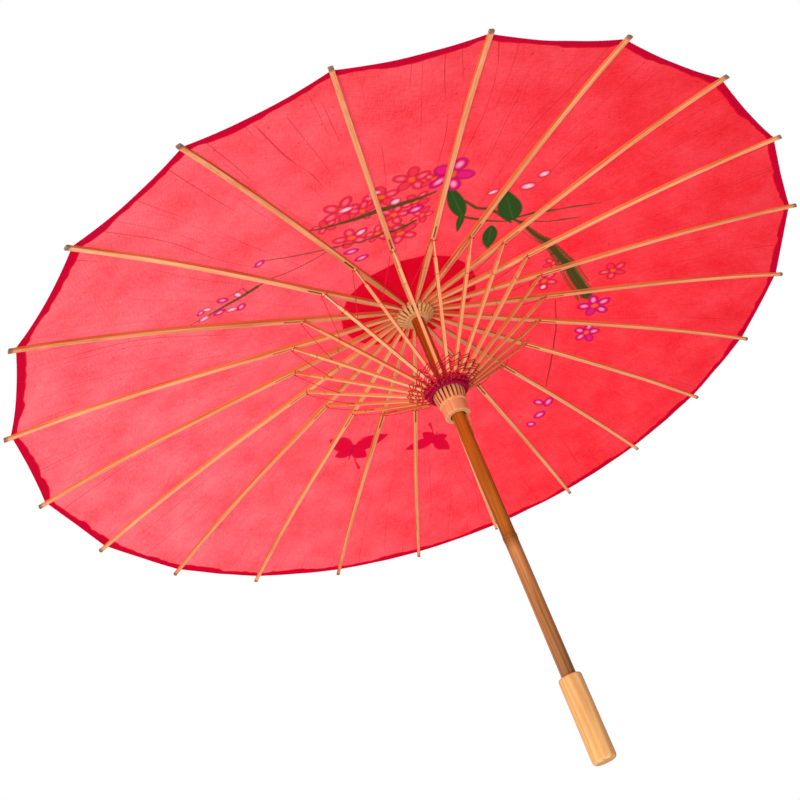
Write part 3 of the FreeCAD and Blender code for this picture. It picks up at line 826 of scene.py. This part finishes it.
def grid_faces(rows, columns, start, keep):
    """Faces of a grid of points, row by row; keep, if given, says which columns to fill."""
    faces = []
    for row in range(rows - 1):
        for column in range(columns - 1):
            if keep is None or (keep[column] and keep[column + 1]):
                corner = start + row * columns + column
                faces.append((corner, corner + columns, corner + columns + 1, corner + 1))
    return faces


def extra_layers(turn, station):
    """1 where the patch lies on the sheet and 2 where it is folded into the hem, with a soft border."""
    soft = 0.5 * MM
    inside_patch = (patch_station(turn) - station) / soft
    inside_hem = (station - edge_station(turn) + hem_width(turn)) / soft
    return np.maximum(np.clip(inside_patch, 0, 1), 2 * np.clip(inside_hem, 0, 1))


def cloth_piece(name, layers):
    """A fabric piece from layers of (turns, stations, lifts, sides, column filter), each a grid.

    The side is 1 where the sheet faces up and -1 where it is folded back and faces down.
    """
    grids, faces = [[], [], [], []], []
    start = 0
    for *values, keep in layers:
        rows, columns = values[0].shape
        faces += grid_faces(rows, columns, start, keep)
        start += rows * columns
        for grid, value in zip(grids, values):
            grid.append(np.broadcast_to(value, (rows, columns)).ravel())
    used, faces = np.unique(np.array(faces), return_inverse=True)
    faces = faces.reshape(-1, 4)
    turn, station, lift, side = (np.concatenate(grid)[used] for grid in grids)
    normals = fabric_normals(turn, station, lift) * side[:, None]
    piece = new_piece(name, fabric(turn, station, lift), faces.tolist(), FABRIC)
    way = np.stack([np.cos(turn * PITCH), np.sin(turn * PITCH)], axis=-1)
    flat = way * station[:, None]
    store(piece.data, "cloth", np.column_stack([flat, lift]))
    store(piece.data, "polar", np.column_stack([way, station]))
    store(piece.data, "layers", extra_layers(turn, station), "FLOAT")
    art = Painting(flat / MM)
    paint_blossom(art)
    store(piece.data, "paint", art.colour, "FLOAT_COLOR")
    piece.data.normals_split_custom_set_from_vertices([tuple(normal) for normal in normals])
    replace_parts(piece, "canopy")
    return piece


def spread(start, end, step):
    """Even values from start to end, about one step apart."""
    return np.linspace(start, end, max(2, round((end - start) / step) + 1))


def patch_layer(turns, stations):
    """The patch's share of a ring: a second layer above the sheet, ended at the patch's round edge."""
    edge = patch_station(turns)
    low, high = stations.min(), stations.max()
    keep = edge > low + 1.0 * MM
    if not keep.any():
        return []
    share = (stations - low) / (high - low)
    reach = low + (np.clip(edge, low, high) - low)[None, :] * share[:, None]
    return [(np.broadcast_to(turns, reach.shape), reach, LAYER, 1.0, keep)]


def ring_piece(name, turns, stations):
    """A piece of the canopy between two stations."""
    station, turn = np.meshgrid(stations, turns, indexing="ij")
    layers = [(turn, station, 0.0, 1.0, None)] + patch_layer(turns, stations)
    piece = cloth_piece(name, layers)
    if len(layers) > 1:
        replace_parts(piece, "centre_patch")
    return piece


def edge_piece(name, turns, start):
    """The outer piece of a panel, with its edge folded back over the top as a hem."""
    end = edge_station(turns)
    width = hem_width(turns)
    hem_start = end - width
    quarters = (0.25, 0.5, 0.75, 1.0)
    rows = [np.full_like(turns, station) for station in spread(start, EDGE_FINE_END, 1.3 * MM)]
    rows += [EDGE_FINE_END + (hem_start - EDGE_FINE_END) * share for share in np.linspace(0, 1, 36)[1:]]
    rows += [hem_start + width * share for share in quarters]
    lifts, sides = [0.0] * len(rows), [1.0] * len(rows)
    rows += [end + HEM_SPLAY, end + HEM_SPLAY, end] + [end - width * share for share in quarters]
    lifts += [0.12 * MM, 0.33 * MM, LAYER, LAYER, LAYER, LAYER, 0.3 * MM]
    sides += [1.0] + [-1.0] * 6
    station = np.array(rows)
    lift, side = (np.array(values)[:, None] for values in (lifts, sides))
    piece = cloth_piece(name, [(np.broadcast_to(turns, station.shape), station, lift, side, None)])
    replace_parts(piece, "canopy_hem")
    return piece


def gather(piece, body):
    """Makes a piece ride on a body, with a mesh of its own."""
    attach(piece, body)
    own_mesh(piece)


def sector_turns(rib, station, step):
    """Turns across one rib's half panels on both sides."""
    half = max(3, round(station * PITCH / 2 / step))
    return np.concatenate([np.linspace(rib - 0.5, rib, half + 1), np.linspace(rib, rib + 0.5, half + 1)[1:]])


def build_canopy():
    """The crown on the hub, then for each rib a collar, and rings and an edge piece that ride on the rib."""
    crown_turns = np.linspace(0, RIBS, RIBS * 6 + 1)
    crown = ring_piece("canopy_crown", crown_turns, spread(CROWN_START, CROWN_END, 1.6 * MM))
    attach(crown, "root")
    for rib, label in enumerate(LABELS):
        body = f"rib_{label}"
        collar = ring_piece(f"canopy_collar_{label}", sector_turns(rib, COLLAR_END, 1.5 * MM),
                            spread(CROWN_END, COLLAR_END, 1.5 * MM))
        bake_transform(collar)
        for name, *sizes in RINGS:
            low, high, step = (size * MM for size in sizes)
            ring = ring_piece(f"canopy_{name}_{label}", sector_turns(rib, high, step),
                              spread(low, high, step))
            gather(ring, body)
        edge = edge_piece(f"canopy_edge_{label}", sector_turns(rib, EDGE, 1.5 * MM), high)
        gather(edge, body)


# ---------------- threads

def on_stretcher(distance, across, rise):
    """A point by stretcher 1: a distance from the runner's cord, across it and square above it."""
    run = STRETCHER_RUN.normalized()
    above = Vector((-run.z, 0, run.x))
    return Vector((RUNNER[0], 0, RUNNER[1])) + run * distance + above * rise + Vector((0, across, 0))


def thread_piece(name, rib, shape, material):
    """Thread that goes with one stretcher, from its shape on stretcher 1."""
    piece = new_piece(f"{name}_{LABELS[rib]}", spun(shape[0], rib), shape[1], material)
    gather(piece, f"stretcher_{LABELS[rib]}")
    return piece


def cuff():
    """Thread wound round a stretcher's thin inner end, close together."""
    turns, steps = 9, 10
    path = []
    for step in range(turns * steps + 1):
        angle = 2 * pi * step / steps
        distance = WOUND[0] + (WOUND[1] - WOUND[0]) * step / (turns * steps)
        rise = max(-1, min(1, 1.2 * sin(angle)))
        path.append(on_stretcher(distance, 1.25 * MM * cos(angle), 2.2 * MM * rise))
    return tube(path, WOUND_THREAD, 5)


def row_distance(turn, row):
    """How far out from the runner's cord a woven row lies, a little unevenly round the ring."""
    drift = 0.45 * sin(3 * turn * PITCH + 1.9 * row) + 0.35 * sin(7 * turn * PITCH + 2.7 * row)
    return (7.5 + 3.3 * row + drift) * MM


def woven_pass(rib, row, side, thread):
    """A thread out of one gap, slanting across the stretcher's face, and back into the next gap."""
    slant = (2.8 + 0.12 * row) * MM
    foot = row_distance(rib, row)
    ends = []
    for way in (-1, 1):
        distance = row_distance(rib + way / 2, row) - slant
        station = RUNNER[0] + distance * STRETCHER_RUN.normalized().x
        ends.append(on_stretcher(distance, way * station * tan(PITCH / 2), 0))
    wide = (1.15 if foot < THIN_TONGUE_END else 2.1) * MM
    high = 2.1 * MM * side
    over = [on_stretcher(foot + along * slant, across * wide, rise * high)
            for along, across, rise in ((-0.45, -1, 0.8), (-0.3, -0.8, 1), (0.3, 0.8, 1), (0.45, 1, 0.8))]
    return tube([ends[0], *over, ends[1]], thread, 5)


def build_lacing_ring():
    """The thick ring of wound thread round the runner's crown: strands twisted unevenly round one another."""
    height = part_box("lacing_thread")[0].z + RING_RISE
    strands = []
    steps, plies, turns = 330, 7, 41
    for ply in range(plies):
        path = []
        for step in range(steps):
            around = 2 * pi * step / steps
            twist = turns * around + 2 * pi * ply / plies
            loose = 1 + 0.28 * sin(9 * around + 2.1 * ply) + 0.22 * sin(23 * around + 1.3 * ply)
            reach = RUNNER[0] + RING_REACH + RING_TWIST * loose * cos(twist)
            path.append((reach * cos(around), reach * sin(around), height + RING_TWIST * loose * sin(twist)))
        strands.append(tube(path, RING_STRAND, 5, closed=True))
    piece = new_piece("lacing_ring", *join_shapes(strands), CRIMSON)
    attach(piece, "runner")
    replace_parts(piece, "lacing_thread")


def build_lacing():
    """The wound ring, thread wound on every stretcher's inner end, and rows woven out over the stretchers."""
    build_lacing_ring()
    wound = cuff()
    for rib in range(RIBS):
        count = 8 + round(sin(2 * rib * PITCH + 1) + 0.4 * sin(5 * rib * PITCH))
        rows = join_shapes([woven_pass(rib, row, 1 if (row + rib) % 4 == 0 else -1,
                                       ROW_THREAD - 0.025 * MM * row) for row in range(count)])
        thread_piece("lacing_wound", rib, wound, CRIMSON)
        thread_piece("lacing_rows", rib, rows, MAROON)


def knot(centre, size):
    """A small round knot."""
    points, faces = [], []
    rings, sides = 5, 8
    for ring in range(rings):
        tilt = pi * (ring + 0.5) / rings
        for step in range(sides):
            angle = 2 * pi * step / sides
            way = Vector((sin(tilt) * cos(angle), sin(tilt) * sin(angle), cos(tilt)))
            points.append(centre + size * way)
    for here in range(0, (rings - 1) * sides, sides):
        for step in range(sides):
            after = (step + 1) % sides
            faces.append((here + step, here + sides + step, here + sides + after, here + after))
    faces.append(tuple(range(sides)))
    faces.append(tuple(reversed(range((rings - 1) * sides, rings * sides))))
    return points, faces


def build_stays():
    """The thin spacing thread from each joint to the stretcher before it, with its knots."""
    length = STRETCHER_RUN.length
    start = on_stretcher(length, -2.6 * MM, -2.1 * MM)
    end = spun([on_stretcher(length * 0.73, 2.4 * MM, -0.4 * MM)], -1)[0]
    path = []
    for step in range(13):
        share = step / 12
        slack = 1.6 * MM * 4 * share * (1 - share)
        path.append(start.lerp(end, share) - Vector((0, 0, slack)))
    wrap = [on_stretcher(length - 1.6 * MM, across * MM, rise * MM)
            for across, rise in ((-2.6, -2.1), (2.6, -2.1), (3.1, 0), (2.6, 1.2))]
    shape = join_shapes([tube(path, STAY_THREAD, 6), tube(wrap, WRAP_THREAD, 6), knot(start, 0.75 * MM),
                         knot(end, 0.7 * MM)])
    for rib in range(RIBS):
        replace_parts(thread_piece("stay", rib, shape, MAROON), "stay_thread")


# ---------------- carried-over CAD nodes

def dress_frame():
    """Gives every CAD node that stays in view its material."""
    kept = {"pole": POLE_SKIN, "grip": GRIP_WOOD, "top_notch": NOTCH_WOOD, "runner": RUNNER_WOOD,
            "catch": RIB_BAMBOO, "catch_pin": RIB_BAMBOO, "hub_cord": PALE_THREAD, "runner_cord": CRIMSON,
            "top_cap": GRIP_WOOD}
    for label in LABELS:
        kept[f"rib_{label}"] = RIB_BAMBOO
        kept[f"stretcher_{label}"] = STRETCHER_BAMBOO
    for name, material in kept.items():
        mesh = frame["nodes"][name].data
        mesh.materials.clear()
        mesh.materials.append(material)


# ---------------- studio

def build_floor():
    """A pale floor under the grip, seen from above only, so that it never hides the view from below."""
    size = 20.0
    height = -0.5 * MM
    corners = [(x * size, y * size, height) for x, y in ((-1, -1), (1, -1), (1, 1), (-1, 1))]
    material, tree = new_material("studio_floor")
    under = add(tree, "NewGeometry")["Backfacing"]
    camera_ray = add(tree, "LightPath")["Is Camera Ray"]
    shown = times(tree, camera_ray, minus(tree, 1.0, under))
    lit = add(tree, "BsdfDiffuse", Color=(0.80, 0.80, 0.79, 1))[0]
    glow = add(tree, "Emission", Color=(1, 1, 1, 1), Strength=0.30)[0]
    pale = add(tree, "AddShader", n0=lit, n1=glow)[0]
    clear = add(tree, "BsdfTransparent")[0]
    surface(tree, add(tree, "MixShader", Fac=shown, n1=clear, n2=pale)[0])
    new_piece("floor", corners, [(0, 1, 2, 3)], material)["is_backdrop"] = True


def area_light(name, place, target, size, power):
    """A soft square light aimed at a point."""
    light = bpy.data.lights.new(name, "AREA")
    light.size = size
    light.energy = power
    lamp = bpy.data.objects.new(name, light)
    lamp.visible_camera = False
    lamp.location = place
    lamp.rotation_mode = "QUATERNION"
    lamp.rotation_quaternion = (Vector(target) - Vector(place)).to_track_quat("-Z", "Y")
    bpy.context.scene.collection.objects.link(lamp)


def build_lights():
    """White surroundings, a wide light over the canopy and one at the camera's side, below the floor."""
    world = bpy.data.worlds.new("studio")
    world.use_nodes = True
    tree = world.node_tree
    way = add(tree, "TexCoord")["Generated"]
    leftness = add(tree, "VectorMath", {"operation": "DOT_PRODUCT"}, n0=way, n1=LEFT_WAY)
    around = maths("MULTIPLY_ADD", tree, leftness["Value"], LEFT_SHARE, AMBIENT)
    seen = add(tree, "LightPath")["Is Camera Ray"]
    sky = tree.nodes["Background"].inputs
    tree.links.new(maths("MAXIMUM", tree, around, seen), sky["Strength"])
    sky["Color"].default_value = (1, 1, 1, 1)
    bpy.context.scene.world = world
    area_light("over_canopy", (-0.3, -0.25, 1.7), (0, 0, HUB[1]), size=1.4, power=22.0)
    area_light("camera_side", (0.95, -0.80, -0.5), (0, 0, 0.36), size=0.5, power=17.0)
    bpy.context.scene.view_settings.view_transform = "Standard"


def build_camera():
    """The picture's view: from below, looking up into the open canopy."""
    camera = bpy.data.cameras.new("camera")
    camera.lens = CAMERA_LENS
    camera.shift_x, camera.shift_y = CAMERA_SHIFT
    camera.clip_start, camera.clip_end = 0.01, 50
    holder = bpy.data.objects.new("camera", camera)
    holder.matrix_world = (
        Matrix.Translation(CAMERA_PLACE) @ Matrix.Rotation(CAMERA_AZIMUTH - pi / 2, 4, "Z")
        @ Matrix.Rotation(CAMERA_ELEVATION + pi / 2, 4, "X") @ Matrix.Rotation(-CAMERA_ROLL, 4, "Z"))
    bpy.context.scene.collection.objects.link(holder)
    bpy.context.scene.camera = holder


def write_sizes():
    """Gathers the CAD box and the visual model's box side by side."""
    boxes = {"cad": cad_box, "visual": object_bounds()}
    boxes = {name: [list(corner) for corner in box] for name, box in boxes.items()}


dress_frame()
build_canopy()
build_lacing()
build_stays()
build_floor()
build_lights()
build_camera()
write_sizes()
